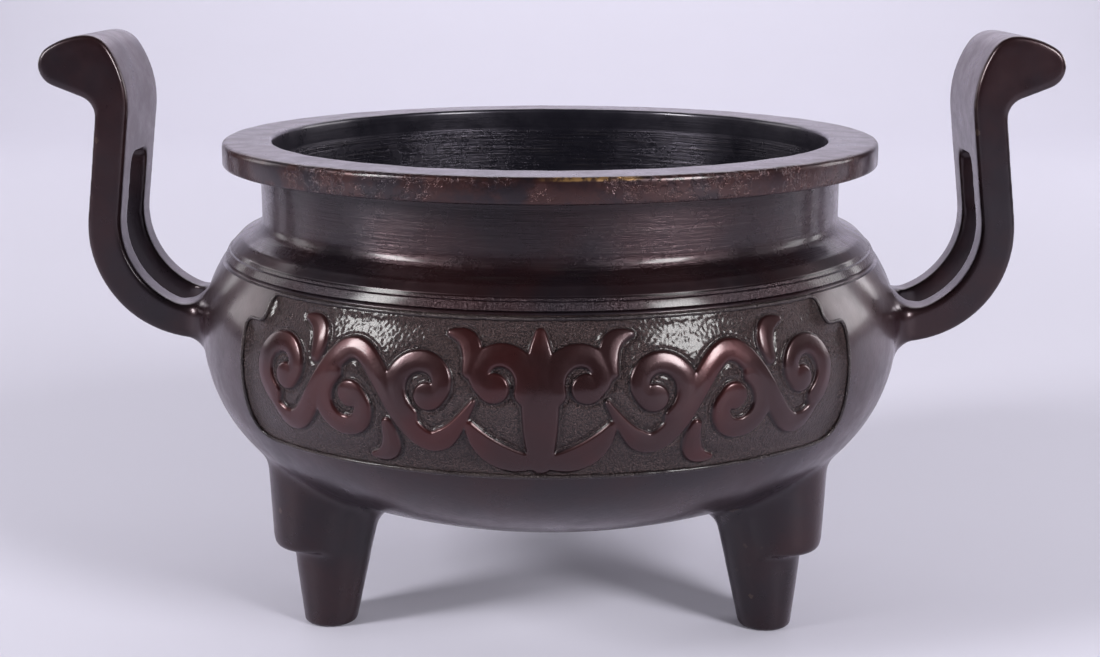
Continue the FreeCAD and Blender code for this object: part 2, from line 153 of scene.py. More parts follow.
def bowl_section():
    """The wall's section, from the axis below, up the outside, over the rim and down the inside."""
    low, high, crest = [
        math.asin((height - BELLY_HEIGHT) / SHOULDER_ARC)
        for height in (GROOVE_BOTTOM, GROOVE_TOP, RIDGE_HEIGHT)]
    throat = math.acos((MOUTH_RADIUS - BELLY_RADIUS + SHOULDER_ARC) / (SHOULDER_ARC - WALL))
    groove = []
    for share in GROOVE_SHARES:
        angle = low + (high - low) * share
        radius = SHOULDER_ARC - GROOVE_DEPTH * math.sin(math.pi * share)
        groove.append((
            shoulder_across + radius * math.cos(angle), BELLY_HEIGHT + radius * math.sin(angle), 0))
    crest_reach = shoulder_across + SHOULDER_ARC * math.cos(crest) + RIDGE_STAND
    lip_reach = crest_reach - RIDGE_LIP
    upper = [
        (shoulder_across + SHOULDER_ARC * math.cos(high), GROOVE_TOP, RIDGE_ROUND / 2),
        (crest_reach, RIDGE_HEIGHT, RIDGE_ROUND),
        (lip_reach, RIDGE_HEIGHT, RIDGE_ROUND / 2),
        (lip_reach - SHOULDER_EDGE_WIDTH, RIDGE_HEIGHT + SHOULDER_EDGE_RISE, SHOULDER_EDGE_ROUND),
        (SHOULDER_BEND_RADIUS, SHOULDER_BEND_HEIGHT, SHOULDER_BEND_ROUND),
        (NECK_RADIUS, SHOULDER_HEIGHT, NECK_FOOT_ROUND),
        (NECK_RADIUS, RIM_UNDERSIDE, RIM_ROOT_ROUND),
        (RIM_RADIUS, RIM_UNDERSIDE, RIM_ROUND),
        (RIM_RADIUS, RIM_HEIGHT, RIM_TOP_ROUND),
        (MOUTH_RADIUS, RIM_HEIGHT, MOUTH_ROUND)]
    inside = belly_arcs(WALL, throat)
    return rounded_path(belly_arcs(0, low) + groove + upper + inside[::-1], PROFILE_STEP)


def belly_place(around, up, depth):
    """A point of the belly at a bearing from -Y, a length up its profile, and a depth under it."""
    arc_radius = SHOULDER_ARC if up > 0 else KNUCKLE_ARC
    angle = up / arc_radius
    reach = BELLY_RADIUS - arc_radius + (arc_radius - depth) * math.cos(angle)
    height = BELLY_HEIGHT + (arc_radius - depth) * math.sin(angle)
    return Vector((reach * math.sin(around), -reach * math.cos(around), height))


def panel_outline(step=OUTLINE_STEP):
    """The closed outline of a sunk panel, as points (length around, length up) on the belly."""
    step_across = panel_half_width - PANEL_STEP_WIDTH
    step_up = panel_up - PANEL_STEP_HEIGHT
    right = [
        (panel_half_width, panel_down, PANEL_LOW_ROUND), (panel_half_width, step_up, PANEL_NOTCH_ROUND),
        (step_across, step_up, PANEL_NOTCH_ROUND), (step_across, panel_up, PANEL_NOTCH_ROUND)]
    left = [(-across, up, radius) for across, up, radius in reversed(right)]
    middle = (0, panel_down, 0)
    return rounded_path([middle] + right + left + [middle], step)[:-1]


def finished(bm, name):
    """The bmesh as a smooth-shaded object in the scene."""
    mesh = bpy.data.meshes.new(name)
    bm.to_mesh(mesh)
    bm.free()
    mesh.polygons.foreach_set("use_smooth", [True] * len(mesh.polygons))
    piece = bpy.data.objects.new(name, mesh)
    scene.collection.objects.link(piece)
    return piece


def evaluated_bmesh(piece):
    """What an object's modifiers make of it, as a bmesh, with the object itself removed."""
    mesh = bpy.data.meshes.new_from_object(piece.evaluated_get(bpy.context.evaluated_depsgraph_get()))
    bpy.data.objects.remove(piece)
    bm = bmesh.new()
    bm.from_mesh(mesh)
    bpy.data.meshes.remove(mesh)
    return bm


def spun_bowl():
    """The section spun about the axis."""
    bm = bmesh.new()
    verts = [bm.verts.new((max(place.x, 0), 0, place.y)) for place in bowl_section()]
    edges = [bm.edges.new(pair) for pair in zip(verts, verts[1:])]
    bmesh.ops.spin(bm, geom=verts + edges, cent=(0, 0, 0), axis=(0, 0, 1), angle=2 * math.pi,
                   steps=BOWL_COLUMNS, use_merge=True)
    bmesh.ops.remove_doubles(bm, verts=bm.verts, dist=MERGE)
    bmesh.ops.recalc_face_normals(bm, faces=bm.faces)
    return bm


def recess_cutter():
    """Two prisms, bent to the belly, that sink the panels."""
    bm = bmesh.new()
    bm.faces.new([bm.verts.new((place.x, place.y, 0)) for place in panel_outline()])
    for axis, reach in ((Vector((1, 0, 0)), panel_half_width), (Vector((0, 1, 0)), panel_up)):
        for place in np.arange(-reach, reach, RECESS_GRID):
            bmesh.ops.bisect_plane(bm, geom=bm.verts[:] + bm.edges[:] + bm.faces[:],
                                   plane_co=axis * place, plane_no=axis)
    bmesh.ops.solidify(bm, geom=bm.faces[:], thickness=CUTTER_THICKNESS)
    for vert in bm.verts:
        depth = RECESS_DEPTH if abs(vert.co.z) < CUTTER_THICKNESS / 2 else -RECESS_OVERRUN
        vert.co = belly_place(vert.co.x / BELLY_RADIUS, vert.co.y, depth)
    copied = bmesh.ops.duplicate(bm, geom=bm.verts[:] + bm.edges[:] + bm.faces[:])["geom"]
    bmesh.ops.rotate(bm, verts=[part for part in copied if isinstance(part, bmesh.types.BMVert)],
                     cent=(0, 0, 0), matrix=Matrix.Rotation(math.pi, 3, "Z"))
    bmesh.ops.recalc_face_normals(bm, faces=bm.faces)
    return finished(bm, "recess_cutter")


def bowl_casting(turned):
    """The spun bowl with its panels sunk, and a little uneven by hand."""
    cutter = recess_cutter()
    blank = finished(turned.copy(), "bowl_blank")
    sink = blank.modifiers.new("panels", "BOOLEAN")
    sink.operation = "DIFFERENCE"
    sink.solver = "EXACT"
    sink.object = cutter
    bm = evaluated_bmesh(blank)
    bpy.data.objects.remove(cutter)
    for vert in bm.verts:
        reach = math.hypot(vert.co.x, vert.co.y)
        if reach > MOUTH_RADIUS - MM:
            sideways = Vector((vert.co.x, vert.co.y, 0)) / reach
            on_rim = min(max((vert.co.z - RIM_UNDERSIDE) / MM, 0), 1)
            rim_dent = RIM_DENT_SHARE * on_rim * noise.noise(vert.co * RIM_DENT_SCALE)
            vert.co += sideways * BOWL_DENT * (noise.noise(vert.co * BOWL_DENT_SCALE) + rim_dent)
            vert.co.z += BOWL_DENT * on_rim * noise.noise(vert.co * RIM_WAVE_SCALE)
    piece = finished(bm, "bowl_cast")
    piece.data.set_sharp_from_angle(angle=CREASE_ANGLE)
    return piece


class Shader:
    """A material's node tree, with short calls for the nodes that the bronze needs."""

    def __init__(self, name):
        self.material = bpy.data.materials.new(name)
        self.material.use_nodes = True
        self.tree = self.material.node_tree
        self.surface = self.tree.nodes["Principled BSDF"]
        self.place = self.node("ShaderNodeTexCoord").outputs["Object"]

    def node(self, kind, links=(), **settings):
        made = self.tree.nodes.new(kind)
        for setting, value in settings.items():
            setattr(made, setting, value)
        for socket, source in dict(links).items():
            self.feed(made.inputs[socket], source)
        return made

    def feed(self, socket, source):
        if isinstance(source, bpy.types.NodeSocket):
            self.tree.links.new(source, socket)
        else:
            socket.default_value = source

    def math(self, operation, first, second=0.0):
        made = self.node("ShaderNodeMath", operation=operation)
        self.feed(made.inputs[0], first)
        self.feed(made.inputs[1], second)
        return made.outputs[0]

    def vector_math(self, operation, first, second=(0, 0, 0), output="Vector"):
        made = self.node("ShaderNodeVectorMath", operation=operation)
        self.feed(made.inputs[0], first)
        self.feed(made.inputs[1], second)
        return made.outputs[output]

    def noise(self, scale, detail=3.0, roughness=0.55, vector=None):
        """Noise of so many waves to the metre, or along a vector of its own."""
        return self.node("ShaderNodeTexNoise", {
            "Vector": vector or self.place, "Scale": scale, "Detail": detail,
            "Roughness": roughness}).outputs["Fac"]

    def spread(self, value, low, high, to_low=0.0, to_high=1.0):
        """The value's stretch from low to high, carried over smoothly to a new one."""
        return self.node("ShaderNodeMapRange", {
            "Value": value, "From Min": low, "From Max": high, "To Min": to_low,
            "To Max": to_high}, interpolation_type="SMOOTHSTEP").outputs["Result"]

    def band(self, value, low, high, soft):
        """1 between low and high, and 0 past a soft edge on either side."""
        return self.math("MULTIPLY", self.spread(value, low - soft, low), self.spread(
            value, high, high + soft, 1.0, 0.0))

    def mix(self, share, first, second):
        """Two colours mixed, through the node's colour sockets: inputs 6 and 7, and output 2."""
        made = self.node("ShaderNodeMix", data_type="RGBA")
        self.feed(made.inputs[0], share)
        self.feed(made.inputs[6], first)
        self.feed(made.inputs[7], second)
        return made.outputs[2]

    def relief(self, heights):
        """Bumps laid one on another, each a (height, depth in metres) pair."""
        normal = None
        for height, depth in heights:
            bump = self.node("ShaderNodeBump", {
                "Height": height, "Distance": depth, "Strength": 1.0})
            if normal:
                self.feed(bump.inputs["Normal"], normal)
            normal = bump.outputs["Normal"]
        self.feed(self.surface.inputs["Normal"], normal)

    def finish(self, colour, roughness, metallic=0.55, coat=0.4, coat_roughness=0.16):
        self.feed(self.surface.inputs["Base Color"], colour)
        self.feed(self.surface.inputs["Roughness"], roughness)
        self.surface.inputs["Metallic"].default_value = metallic
        self.surface.inputs["Specular Tint"].default_value = SHEEN_PURPLE
        self.surface.inputs["Coat Weight"].default_value = coat
        self.surface.inputs["Coat Roughness"].default_value = coat_roughness
        return self.material


# A NOISE below is a scale per metre, a detail and a roughness. A STRETCH is the two values of a noise that
# become 0 and 1, or the two that follow them.

FACE_BROWN = (0.0240, 0.0086, 0.0098, 1)
SHADE_BROWN = (0.0130, 0.0086, 0.0120, 1)
SHEEN_PURPLE = (1.0, 0.89, 0.98, 1)
CLOUD_NOISE = (38.0, 4.0, 0.6)
CLOUD_STRETCH = (0.36, 0.66)
GRAIN_NOISE = (1100.0, 3.0, 0.6)
GRAIN_STRETCH = (0.55, 0.8, 0.0, 0.3)
GRAIN_DEPTH = 0.025 * MM
PIT_BLACK = (0.004, 0.004, 0.005, 1)
PIT_SCALE = 300.0
PIT_CHOICE = 0.965
PIT_STRETCH = (0.03, 0.11, 1.0, 0.0)
PIT_DEPTH = 0.05 * MM
WAX_NOISE = (140.0, 5.0, 0.65)
WAX_STRETCH = (0.3, 0.7, 0.26, 0.40)
DENT_NOISE = (55.0, 2.0, 0.5)
DENT_DEPTH = 0.30 * MM


def patina(shader, face=FACE_BROWN, shade=SHADE_BROWN):
    """The mottled brown, its roughness, and the heights of its dents, grain and pits."""
    cloud = shader.spread(shader.noise(*CLOUD_NOISE), *CLOUD_STRETCH)
    colour = shader.mix(cloud, face, shade)
    grain = shader.noise(*GRAIN_NOISE)
    colour = shader.mix(shader.spread(grain, *GRAIN_STRETCH), colour, PIT_BLACK)
    pit_cells = shader.node("ShaderNodeTexVoronoi", {"Vector": shader.place, "Scale": PIT_SCALE})
    pit_drawn = shader.node("ShaderNodeSeparateColor", {"Color": pit_cells.outputs["Color"]})
    chosen = shader.math("GREATER_THAN", pit_drawn.outputs["Red"], PIT_CHOICE)
    pit = shader.math("MULTIPLY", chosen, shader.spread(pit_cells.outputs["Distance"], *PIT_STRETCH))
    rough = shader.spread(shader.noise(*WAX_NOISE), *WAX_STRETCH)
    heights = [
        (shader.noise(*DENT_NOISE), DENT_DEPTH),
        (grain, GRAIN_DEPTH),
        (shader.math("MULTIPLY", pit, -1.0), PIT_DEPTH)]
    return colour, rough, heights


INSIDE_BLACK = (0.0150, 0.0140, 0.0215, 1)
INSIDE_MIDDLE = (0, 0, 98 * MM)
INSIDE_EDGE = 2 * MM
BRUSH_BROWN = (0.060, 0.050, 0.048, 1)
BRUSH_SCALE = 1700.0
BRUSH_RUN_SCALE = 70.0
BRUSH_NOISE = (1.0, 4.0, 0.7)
BRUSH_STRETCH = (0.50, 0.78)
BRUSH_SHARE = 0.30
BRUSH_DEPTH = 0.20 * MM
INSIDE_BRUSHING = 0.16
NECK_FADE = 1.5 * MM
NECK_TOP_GAP = 0.6 * MM
NECK_POLISH = 0.05
RIDGE_FADE = 0.4 * MM
HATCHING_NOISE = (1900.0, 2.0, 0.7)
HATCHING_DEPTH = 0.34 * MM
RIM_FACE_START = 1.0 * MM
RIM_FACE_FADE = 0.4 * MM
RIM_RED = (0.040, 0.014, 0.012, 1)
RIM_CLOUD_NOISE = (120.0, 4.0, 0.65)
RIM_CLOUD_STRETCH = (0.40, 0.62)
KNOCK_NOISE = (520.0, 3.0, 0.65)
KNOCK_STRETCH = (0.46, 0.64)
KNOCK_DEPTH = 0.26 * MM
STRUCK_NOISE = (60.0, 2.0)
STRUCK_STRETCH = (0.46, 0.60)
STRUCK_MIDDLE = -3 * MM
STRUCK_NEAR = 20 * MM
STRUCK_FAR = 36 * MM
STRUCK_FADE = 6 * MM
STRUCK_GAIN = 0.12
WORN_BRASS = (0.30, 0.17, 0.06, 1)
BRASS_START = 0.9 * MM
BRASS_FULL = 0.5 * MM
BRASS_LEFT = 3 * MM
BRASS_RIGHT = 15 * MM
BRASS_FADE = 4 * MM
BRASS_NOISE = (620.0, 3.0)
BRASS_STRETCH = (0.42, 0.60, 0.10, 0.9)


def bowl_bronze():
    """Patina with a brushed neck, a black inside, a matted ridge and a knocked and rubbed rim."""
    shader = Shader("bowl_bronze")
    colour, rough, heights = patina(shader)
    place = shader.node("ShaderNodeSeparateXYZ", {"Vector": shader.place})
    sideways, height = place.outputs["X"], place.outputs["Z"]
    flat = shader.vector_math("MULTIPLY", shader.place, (1, 1, 0))
    reach = shader.vector_math("LENGTH", flat, output="Value")
    facing = shader.node("ShaderNodeNewGeometry").outputs["Normal"]
    inwards = shader.vector_math("SUBTRACT", INSIDE_MIDDLE, shader.place)
    inside = shader.spread(
        shader.vector_math("DOT_PRODUCT", facing, inwards, output="Value"), 0.0, INSIDE_EDGE)
    rings = shader.node("ShaderNodeCombineXYZ", {
        "X": shader.math("MULTIPLY", reach, BRUSH_SCALE),
        "Y": shader.math("MULTIPLY", height, BRUSH_SCALE),
        "Z": shader.math("MULTIPLY", sideways, BRUSH_RUN_SCALE)}).outputs[0]
    brushed = shader.noise(*BRUSH_NOISE, rings)
    neck = shader.band(height, SHOULDER_HEIGHT - NECK_FADE, RIM_UNDERSIDE - NECK_TOP_GAP, NECK_FADE)
    walls = shader.math("MAXIMUM", neck, shader.math("MULTIPLY", inside, INSIDE_BRUSHING))
    colour = shader.mix(inside, colour, INSIDE_BLACK)
    streak = shader.math("MULTIPLY", shader.spread(brushed, *BRUSH_STRETCH), walls)
    colour = shader.mix(shader.math("MULTIPLY", streak, BRUSH_SHARE), colour, BRUSH_BROWN)
    rough = shader.math("SUBTRACT", rough, shader.math("MULTIPLY", neck, NECK_POLISH))
    ridge = shader.band(height, GROOVE_TOP, RIDGE_HEIGHT + RIDGE_FADE, RIDGE_FADE)
    ridge = shader.math("MULTIPLY", ridge, shader.math("SUBTRACT", 1.0, inside))
    hatching = shader.noise(*HATCHING_NOISE)
    rim_face = shader.math(
        "MULTIPLY", shader.spread(reach, RIM_RADIUS - RIM_FACE_START, RIM_RADIUS - RIM_FACE_FADE),
        shader.spread(height, RIM_UNDERSIDE, RIM_UNDERSIDE + RIM_FACE_FADE))
    rim_clouds = shader.spread(shader.noise(*RIM_CLOUD_NOISE), *RIM_CLOUD_STRETCH)
    colour = shader.mix(shader.math("MULTIPLY", rim_face, rim_clouds), colour, RIM_RED)
    from_struck = shader.math("ABSOLUTE", shader.math("SUBTRACT", sideways, STRUCK_MIDDLE))
    struck = shader.math("ADD", shader.noise(*STRUCK_NOISE), shader.math(
        "MULTIPLY", shader.band(from_struck, STRUCK_NEAR, STRUCK_FAR, STRUCK_FADE), STRUCK_GAIN))
    knocks = shader.spread(shader.noise(*KNOCK_NOISE), *KNOCK_STRETCH)
    knocks = shader.math("MULTIPLY", knocks, shader.spread(struck, *STRUCK_STRETCH))
    knocks = shader.math("MULTIPLY", knocks, rim_face)
    at_edge = shader.math("MULTIPLY", rim_face, shader.spread(
        height, RIM_HEIGHT - BRASS_START, RIM_HEIGHT - BRASS_FULL))
    rubbed = shader.math("MULTIPLY", at_edge, shader.band(sideways, BRASS_LEFT, BRASS_RIGHT, BRASS_FADE))
    rubbed = shader.math("MULTIPLY", rubbed, shader.spread(shader.noise(*BRASS_NOISE), *BRASS_STRETCH))
    colour = shader.mix(rubbed, colour, WORN_BRASS)
    shader.relief(heights + [
        (shader.math("MULTIPLY", brushed, walls), BRUSH_DEPTH),
        (shader.math("MULTIPLY", hatching, ridge), HATCHING_DEPTH),
        (shader.math("MULTIPLY", knocks, -1.0), KNOCK_DEPTH)])
    return shader.finish(colour, rough)


turned_bowl = spun_bowl()
bowl_piece = bowl_casting(turned_bowl)
bowl_piece.data.materials.clear()
bowl_piece.data.materials.append(bowl_bronze())
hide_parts("bowl")
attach(bowl_piece, "root")


# Panel relief
# Each sunk panel of the belly holds cast scrollwork with rubbed rounded tops, over a ground that was matted
# with small punches. The scrolls are a traditional rinceau of stem, volutes and leaves about a palmette.

PANEL_COLUMNS = 570
PANEL_ROWS = 128
PANEL_BACK_ROWS = 8
BLANK_SIZE = 1.0
SLAB_OVERLAP = 0.8 * MM
SLAB_DEPTH = 2.2 * MM
GROUND_DEPTH = 0.95 * MM
GROUND_RISE = 0.55 * MM
GROUND_RUN = 1.5 * MM
TOP_DEPTH = 0.02 * MM
TOP_CROWN = 0.34 * MM
CROWN_RUN = 1.1 * MM
STROKE_BLEND = 0.20 * MM
STROKE_FAR = 6 * MM
EDGE_RUN = 0.55 * MM
CHASED_DEPTH = 0.20 * MM
CHASED_WIDTH = 0.40 * MM
WANDER = 0.06
WANDER_SCALE = 260
GRIT = 0.055 * MM
GRIT_SCALE = 1500
FINE_GRIT_SCALE = 2600
FINE_GRIT_SHARE = 0.9
SCROLL_MIDDLE = 0.4 * MM
FAR_OFF = 1.0
DOTS_AT_ONCE = 40

# The scrolls' sizes are in mm and degrees, measured from the panel's middle

STEM_DOTS = 220
STEM_POINT = 0.25
STEM_TAPER = 6
VOLUTE_DOTS = 170
VOLUTE_CURL = 0.85
BUD_SWELL = 0.4
BUD_RUN = 0.10
LEAF_DOTS = 90
LEAF_ROOT_SHARE = 0.20
LEAF_SPAN = 0.70
LEAF_FULLNESS = 0.9
PALMETTE_BLADE = ((0, -12.4), (0, 2), (0, 13.0), 3.4)
PALMETTE_CURL = ((8.2, 4.6), 6.4, 1.9, 205, -285, 2.4, 1.9)
PALMETTE_FOOT = ((2.0, -12.0), (9.5, -12.2), (13.2, -4.6), 2.7)
STEM = (12.4, 59.8, 8.4, 1.45, 2.15)
VOLUTE_PLACES = (21.7, 38.0, 54.4)
VOLUTE_RISE = 2.6
VOLUTE_RADII = (7.1, 2.1)
VOLUTE_START = -58
VOLUTE_TURN = 315
VOLUTE_WIDTHS = (2.3, 1.8)
LEAF_ROOT = (8.4, 5.6)
LEAF_BEND = (10.4, 12.6)
LEAF_TIP = (4.4, 12.8)
LEAF_WIDTH = 2.0


def wave(start, end, swing, periods, width):
    """A stem that waves about the panel's middle, drawn out to a point at both ends."""
    share = np.linspace(0, 1, STEM_DOTS)
    across = start + (end - start) * share
    up = -swing * np.sin(2 * math.pi * periods * share)
    widths = (width * np.minimum(1, STEM_POINT + STEM_TAPER * share)
              * np.minimum(1, STEM_POINT + STEM_TAPER * (1 - share)))
    return np.stack([across, up, widths], 1)


def volute(centre, start_radius, end_radius, start_angle, turn, start_width, end_width):
    """A stroke that curls in towards a centre and ends in a bud."""
    share = np.linspace(0, 1, VOLUTE_DOTS)
    radius = start_radius + (end_radius - start_radius) * share ** VOLUTE_CURL
    angle = np.radians(start_angle + turn * share)
    width = start_width + (end_width - start_width) * share
    bud = BUD_SWELL * start_width * np.exp(-((share - 1) / BUD_RUN) ** 2)
    return np.stack([
        centre[0] + radius * np.cos(angle), centre[1] + radius * np.sin(angle), width + bud], 1)


def leaf(start, bend, end, width):
    """A stroke on a quadratic curve, full near its root and drawn out to a blunt end."""
    share = np.linspace(0, 1, LEAF_DOTS)[:, None]
    places = ((1 - share) ** 2 * np.array(start) + 2 * share * (1 - share) * np.array(bend)
              + share ** 2 * np.array(end))
    widths = width * np.sin(math.pi * (LEAF_ROOT_SHARE + LEAF_SPAN * share)) ** LEAF_FULLNESS
    return np.hstack([places, widths])


def half_scrolls():
    """The right half of the scrollwork, as rows of place across, place up and half-width, in mm."""
    strokes = [leaf(*PALMETTE_BLADE), volute(*PALMETTE_CURL), leaf(*PALMETTE_FOOT), wave(*STEM)]
    for index, across in enumerate(VOLUTE_PLACES):
        side = 1 if index % 2 == 0 else -1
        leaf_places = [(across - back, side * rise) for back, rise in (LEAF_ROOT, LEAF_BEND, LEAF_TIP)]
        strokes += [
            volute((across, side * VOLUTE_RISE), *VOLUTE_RADII, VOLUTE_START * side, VOLUTE_TURN * side,
                   *VOLUTE_WIDTHS),
            leaf(*leaf_places, LEAF_WIDTH)]
    return strokes


def distance_to(dots, across, up):
    """Distance from each place to the nearest edge of a row of dots, negative inside one."""
    distance = np.full(across.shape, FAR_OFF)
    for block in np.array_split(dots, max(1, len(dots) // DOTS_AT_ONCE)):
        gap = np.hypot(across[:, None] - block[None, :, 0], up[:, None] - block[None, :, 1])
        distance = np.minimum(distance, (gap - block[None, :, 2]).min(1))
    return distance


def stroke_distance(across, up):
    """Distance to the scrollwork's edge, with its strokes run together softly where they meet."""
    total = np.zeros(across.shape)
    for stroke in half_scrolls():
        distance = distance_to(stroke * MM, np.abs(across), up - SCROLL_MIDDLE)
        total += np.exp(-np.clip(distance, -STROKE_FAR, STROKE_FAR) / STROKE_BLEND)
    return -STROKE_BLEND * np.log(total)


def outline_distance(across, up):
    """Distance from each place to the panel's outline."""
    run = [(place.x, place.y, 0) for place in panel_outline(OUTLINE_STEP / 2)]
    return distance_to(np.array(run), across, up)


def smooth_share(values):
    """The values held between 0 and 1, with a soft start and a soft end."""
    share = np.clip(values, 0, 1)
    return share * share * (3 - 2 * share)


def panel_slab(name):
    """A slab cut into a fine grid on its face and a coarse one on its back, bent to the belly."""
    bm = bmesh.new()
    bmesh.ops.create_cube(bm, size=BLANK_SIZE)
    along = [edge for edge in bm.edges
             if abs(edge.verts[0].co.x - edge.verts[1].co.x) > BLANK_SIZE / 2]
    bmesh.ops.subdivide_edges(bm, edges=along, cuts=PANEL_COLUMNS - 1, use_grid_fill=True)
    for side, rows in ((1, PANEL_ROWS), (-1, PANEL_BACK_ROWS)):
        across = [edge for edge in bm.edges if all(vert.co.z * side > 0 for vert in edge.verts)
                  and abs(edge.verts[0].co.y - edge.verts[1].co.y) > BLANK_SIZE / 2]
        bmesh.ops.subdivide_edges(bm, edges=across, cuts=rows - 1, use_grid_fill=True)
    grid = np.array([vert.co[:] for vert in bm.verts])
    across = grid[:, 0] * 2 * (panel_half_width + SLAB_OVERLAP)
    low = panel_down - SLAB_OVERLAP
    up = low + (panel_up + SLAB_OVERLAP - low) * (grid[:, 1] + BLANK_SIZE / 2)
    distance = stroke_distance(across, up)
    rise = smooth_share(0.5 - distance / EDGE_RUN)
    crown = TOP_CROWN * (1 - np.exp(np.minimum(distance, 0) / CROWN_RUN))
    chased = CHASED_DEPTH * np.exp(-((distance - CHASED_WIDTH) / CHASED_WIDTH) ** 2)
    ground = GROUND_DEPTH - GROUND_RISE * np.exp(-(outline_distance(across, up) / GROUND_RUN) ** 2)
    depth = (ground + chased) * (1 - rise) + rise * (TOP_DEPTH + TOP_CROWN - crown)
    depth[grid[:, 2] < 0] = SLAB_DEPTH
    tops = bm.verts.layers.float.new("top")
    for vert, length, height, sunk, share in zip(bm.verts, across, up, depth, rise):
        spot = Vector((length, height, 0))
        wander = noise.noise(spot * WANDER_SCALE) * WANDER * MM
        punched = noise.noise(spot * GRIT_SCALE) + FINE_GRIT_SHARE * noise.noise(spot * FINE_GRIT_SCALE)
        grit = punched * GRIT * (1 - share)
        vert.co = belly_place(length / BELLY_RADIUS, height, sunk + wander + grit)
        vert[tops] = share
    bmesh.ops.recalc_face_normals(bm, faces=bm.faces)
    return finished(bm, name)


TOP_RED = (0.050, 0.0095, 0.0085, 1)
TOP_BROWN = (0.030, 0.0100, 0.0100, 1)
TOP_SHARE = 0.85
RED_NOISE = (45.0, 3.0)
RED_STRETCH = (0.38, 0.62)
GROUND_BROWN = (0.044, 0.026, 0.024, 1)
GROUND_BLACK = (0.008, 0.0045, 0.0045, 1)
GROUND_STRETCH = (0.05, 0.6, 1.0, 0.0)
PUNCHED_NOISE = (2900.0, 2.0, 0.65)
PUNCHED_STRETCH = (0.36, 0.58)
PUNCHED_DEPTH = 0.44 * MM
FLANK_FOOT_STRETCH = (0.0, 0.2)
FLANK_TOP_STRETCH = (0.3, 0.9, 1.0, 0.0)
FLANK_SHARE = 0.6


def relief_bronze():
    """Patina with red rubbed tops, and a brown ground matted with small punches."""
    shader = Shader("relief_bronze")
    colour, rough, heights = patina(shader)
    top = shader.node("ShaderNodeAttribute", attribute_name="top").outputs["Fac"]
    ground = shader.spread(top, *GROUND_STRETCH)
    punched = shader.noise(*PUNCHED_NOISE)
    red = shader.spread(shader.noise(*RED_NOISE), *RED_STRETCH)
    colour = shader.mix(TOP_SHARE, colour, shader.mix(red, TOP_RED, TOP_BROWN))
    matted = shader.mix(shader.spread(punched, *PUNCHED_STRETCH), GROUND_BLACK, GROUND_BROWN)
    colour = shader.mix(ground, colour, matted)
    flank = shader.math("MULTIPLY", shader.spread(top, *FLANK_FOOT_STRETCH),
                        shader.spread(top, *FLANK_TOP_STRETCH))
    colour = shader.mix(shader.math("MULTIPLY", flank, FLANK_SHARE), colour, PIT_BLACK)
    shader.relief(heights + [(shader.math("MULTIPLY", punched, ground), PUNCHED_DEPTH)])
    return shader.finish(colour, rough)


front_relief = panel_slab("panel_relief_front")
front_relief.data.materials.append(relief_bronze())
back_relief = bpy.data.objects.new("panel_relief_back", front_relief.data.copy())
back_relief.data.transform(Matrix.Rotation(math.pi, 4, "Z"))
scene.collection.objects.link(back_relief)
for relief_piece in (front_relief, back_relief):
    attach(relief_piece, "root")


# Panel edges
# The sunk panels' edges are of the same bronze as the bowl. They were dressed with a chisel after casting,
# which left a low, dark and grainy bead along them. Its lighter brown is partly rubbed wear and partly a
# painted highlight along the edge.

BEAD_RADIUS = 0.42 * MM
BEAD_DEPTH = 0.24 * MM
BEAD_RESOLUTION = 3
BEAD_UNEVEN_SCALE = 420
BEAD_WANDER = 0.10 * MM
BEAD_SWELL = 0.35
# The bead's lighter brown is partly rubbed wear and partly a painted highlight along the panel's edge.
BEAD_WEAR_AND_HIGHLIGHT_BROWN = (0.040, 0.030, 0.028, 1)
BEAD_SHADE = (0.014, 0.010, 0.011, 1)
BEAD_NOISE = (1900.0, 2.0, 0.65)
BEAD_GRAIN_DEPTH = 0.42 * MM


def panel_bead(name):
    """A round bead of slightly uneven width, swept along the panel's outline."""
    run = panel_outline()
    curve = bpy.data.curves.new(name, "CURVE")
    curve.dimensions = "3D"
    curve.bevel_depth = BEAD_RADIUS
    curve.bevel_resolution = BEAD_RESOLUTION
    spline = curve.splines.new("POLY")
    spline.points.add(len(run) - 1)
    for point, place in zip(spline.points, run):
        uneven = noise.noise(Vector((place.x, place.y, 0)) * BEAD_UNEVEN_SCALE)
        spot = belly_place(place.x / BELLY_RADIUS, place.y, BEAD_DEPTH + BEAD_WANDER * uneven)
        point.co = (*spot, 1)
        point.radius = 1 + BEAD_SWELL * uneven
    spline.use_cyclic_u = True
    swept = bpy.data.objects.new(name + "_curve", curve)
    scene.collection.objects.link(swept)
    bm = evaluated_bmesh(swept)
    bmesh.ops.remove_doubles(bm, verts=bm.verts, dist=MERGE)
    bmesh.ops.recalc_face_normals(bm, faces=bm.faces)
    return finished(bm, name)


def bead_wear_and_highlight_bronze():
    """The same bronze, coarser in its grain, in a lighter brown that is partly wear and partly painted
    highlight.
    """
    shader = Shader("bead_wear_and_highlight_bronze")
    colour, rough, heights = patina(shader, BEAD_WEAR_AND_HIGHLIGHT_BROWN, BEAD_SHADE)
    shader.relief(heights + [(shader.noise(*BEAD_NOISE), BEAD_GRAIN_DEPTH)])
    return shader.finish(colour, rough)


bead_wear_and_highlight_finish = bead_wear_and_highlight_bronze()
for name, turn in (("panel_edge_front", 0), ("panel_edge_back", math.pi)):
    bead = panel_bead(name)
    bead.data.transform(Matrix.Rotation(turn, 4, "Z"))
    bead.data.materials.append(bead_wear_and_highlight_finish)
    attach(bead, "root")


# Handles
# Each handle is a cast strap, pierced by a slot, bent up from its root and curled outwards at its top. Its
# root was run into the belly with a soft fillet, and its edges were filed soft.

